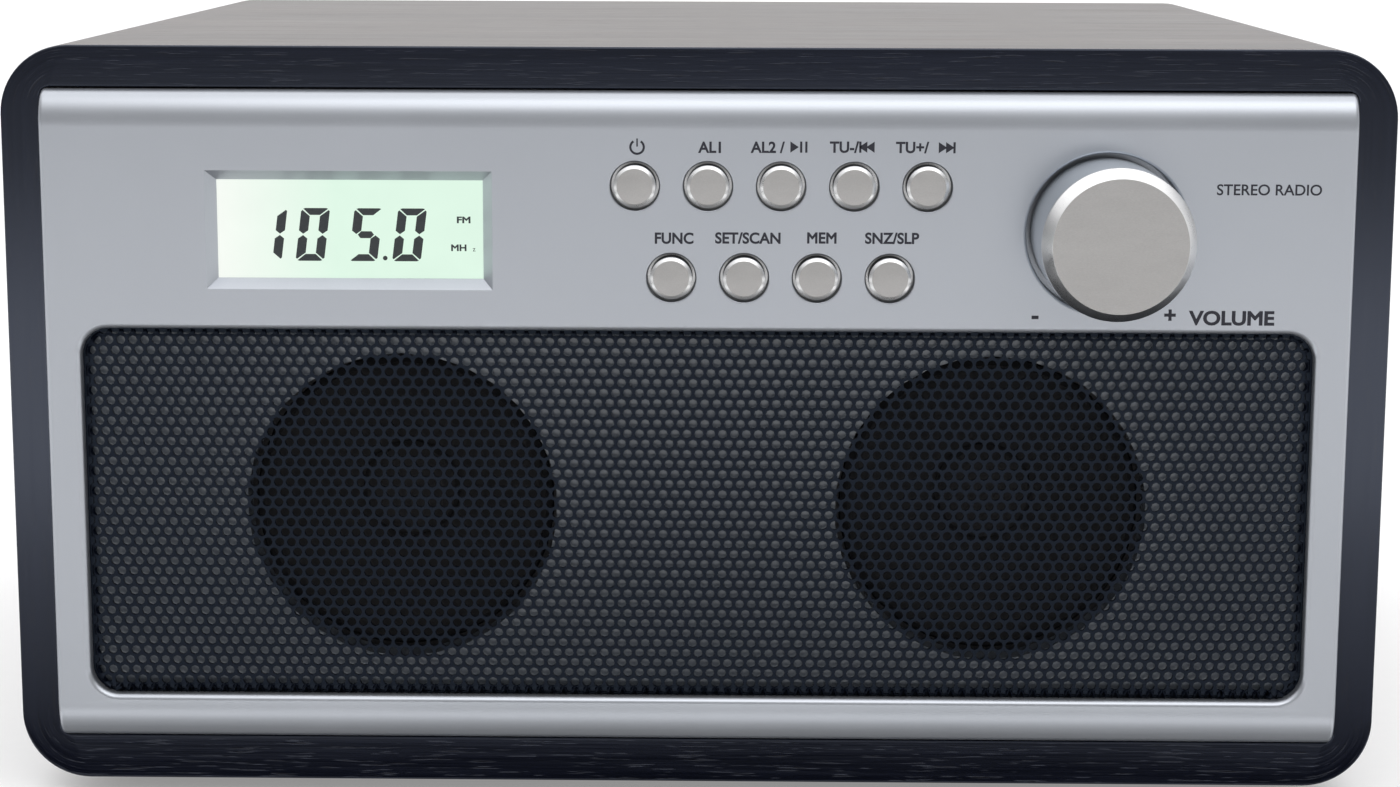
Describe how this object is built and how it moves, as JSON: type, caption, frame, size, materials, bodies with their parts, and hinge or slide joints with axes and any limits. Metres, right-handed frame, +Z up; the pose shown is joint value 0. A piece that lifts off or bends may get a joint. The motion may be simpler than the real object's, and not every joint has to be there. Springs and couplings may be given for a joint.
{
  "type": "tabletop radio",
  "caption": "Stereo table clock radio: dark wooden cabinet, silver front with lit display, push buttons, volume knob, perforated grille and folding rear aerial.",
  "frame": {"origin": "bottom centre of the radio's bounding box, on the surface it stands on", "axes": "+X to the radio's right as seen from the front, +Y from front to back, +Z up; the front faces -Y"},
  "size_m": [0.3, 0.255, 0.1675],
  "materials": {
    "veneer": "dark open-pored wood veneer, satin lacquer",
    "silver_paint": "fine metallic silver paint on moulded plastic, satin",
    "black_steel": "black painted perforated steel, semi-gloss",
    "black_board": "black painted fibreboard",
    "black_plastic": "fine textured black moulded plastic",
    "satin_metal": "satin turned metal with a bright chamfer",
    "steel": "zinc plated steel",
    "chrome": "polished chrome plating",
    "ferrite": "sintered ferrite",
    "paper": "black pulp cone with a soft surround",
    "display_glass": "backlit liquid crystal display, pale green",
    "diffuser": "light guide, milky",
    "circuit_board": "green solder mask",
    "heat_sink": "black anodised extrusion",
    "rubber": "matt black rubber"
  },
  "bodies": {
    "radio": {"wood_cabinet": "veneer", "front_panel": "silver_paint", "speaker_grille": "black_steel", "speaker_baffle": "black_board", "left_speaker_basket": "steel", "left_speaker_cone": "paper", "left_dust_cap": "paper", "left_speaker_magnet": "ferrite", "right_speaker_basket": "steel", "right_speaker_cone": "paper", "right_dust_cap": "paper", "right_speaker_magnet": "ferrite", "display_glass": "display_glass", "display_backlight": "diffuser", "display_holder": "black_plastic", "control_board": "circuit_board", "main_board": "circuit_board", "power_switch": "black_plastic", "alarm_1_switch": "black_plastic", "alarm_2_switch": "black_plastic", "tune_down_switch": "black_plastic", "tune_up_switch": "black_plastic", "function_switch": "black_plastic", "scan_switch": "black_plastic", "memory_switch": "black_plastic", "snooze_switch": "black_plastic", "encoder_nut": "steel", "encoder_body": "steel", "rear_panel": "black_plastic", "power_inlet": "black_plastic", "audio_jack": "black_plastic", "filter_capacitor": "black_plastic", "lower_left_screw": "steel", "lower_right_screw": "steel", "upper_left_screw": "steel", "upper_right_screw": "steel", "tuner_shield": "steel", "heat_sink": "heat_sink", "front_left_foot": "rubber", "front_right_foot": "rubber", "rear_left_foot": "rubber", "rear_right_foot": "rubber"},
    "volume_knob": {"volume_knob_shell": "satin_metal", "volume_knob_core": "black_plastic", "encoder_shaft": "steel"},
    "aerial_head": {"aerial_head": "black_plastic", "aerial_hinge_pin": "steel"},
    "aerial_section_1": {"aerial_section_1": "chrome"},
    "aerial_section_2": {"aerial_section_2": "chrome"},
    "aerial_section_3": {"aerial_section_3": "chrome"},
    "aerial_section_4": {"aerial_section_4": "chrome"},
    "power_button": {"power_button": "satin_metal"},
    "alarm_1_button": {"alarm_1_button": "satin_metal"},
    "alarm_2_button": {"alarm_2_button": "satin_metal"},
    "tune_down_button": {"tune_down_button": "satin_metal"},
    "tune_up_button": {"tune_up_button": "satin_metal"},
    "function_button": {"function_button": "satin_metal"},
    "scan_button": {"scan_button": "satin_metal"},
    "memory_button": {"memory_button": "satin_metal"},
    "snooze_button": {"snooze_button": "satin_metal"}
  },
  "joints": [
    {"name": "power_press", "type": "slide", "parent": "radio", "child": "power_button", "axis": [0, 1, 0], "range_m": [0, 0.0008], "stiffness_N_per_m": 1500, "springref_m": -0.0003},
    {"name": "alarm_1_press", "type": "slide", "parent": "radio", "child": "alarm_1_button", "axis": [0, 1, 0], "range_m": [0, 0.0008], "stiffness_N_per_m": 1500, "springref_m": -0.0003},
    {"name": "alarm_2_press", "type": "slide", "parent": "radio", "child": "alarm_2_button", "axis": [0, 1, 0], "range_m": [0, 0.0008], "stiffness_N_per_m": 1500, "springref_m": -0.0003},
    {"name": "tune_down_press", "type": "slide", "parent": "radio", "child": "tune_down_button", "axis": [0, 1, 0], "range_m": [0, 0.0008], "stiffness_N_per_m": 1500, "springref_m": -0.0003},
    {"name": "tune_up_press", "type": "slide", "parent": "radio", "child": "tune_up_button", "axis": [0, 1, 0], "range_m": [0, 0.0008], "stiffness_N_per_m": 1500, "springref_m": -0.0003},
    {"name": "function_press", "type": "slide", "parent": "radio", "child": "function_button", "axis": [0, 1, 0], "range_m": [0, 0.0008], "stiffness_N_per_m": 1500, "springref_m": -0.0003},
    {"name": "scan_press", "type": "slide", "parent": "radio", "child": "scan_button", "axis": [0, 1, 0], "range_m": [0, 0.0008], "stiffness_N_per_m": 1500, "springref_m": -0.0003},
    {"name": "memory_press", "type": "slide", "parent": "radio", "child": "memory_button", "axis": [0, 1, 0], "range_m": [0, 0.0008], "stiffness_N_per_m": 1500, "springref_m": -0.0003},
    {"name": "snooze_press", "type": "slide", "parent": "radio", "child": "snooze_button", "axis": [0, 1, 0], "range_m": [0, 0.0008], "stiffness_N_per_m": 1500, "springref_m": -0.0003},
    {"name": "volume_turn", "type": "hinge", "parent": "radio", "child": "volume_knob", "pos_m": [0.08795, -0.12745, 0.1282], "axis": [0, 1, 0], "continuous": true},
    {"name": "aerial_swivel", "type": "hinge", "parent": "radio", "child": "aerial_head", "pos_m": [0.111, 0.12395, 0.1465], "axis": [0, 1, 0], "range_deg": [0, 180]},
    {"name": "aerial_tilt", "type": "hinge", "parent": "aerial_head", "child": "aerial_section_1", "pos_m": [0.111, 0.12395, 0.1465], "axis": [0, 0, -1], "range_deg": [0, 90]},
    {"name": "aerial_pull_1", "type": "slide", "parent": "aerial_section_1", "child": "aerial_section_2", "axis": [-1, 0, 0], "range_m": [0, 0.12]},
    {"name": "aerial_pull_2", "type": "slide", "parent": "aerial_section_2", "child": "aerial_section_3", "axis": [-1, 0, 0], "range_m": [0, 0.12]},
    {"name": "aerial_pull_3", "type": "slide", "parent": "aerial_section_3", "child": "aerial_section_4", "axis": [-1, 0, 0], "range_m": [0, 0.12]}
  ]
}
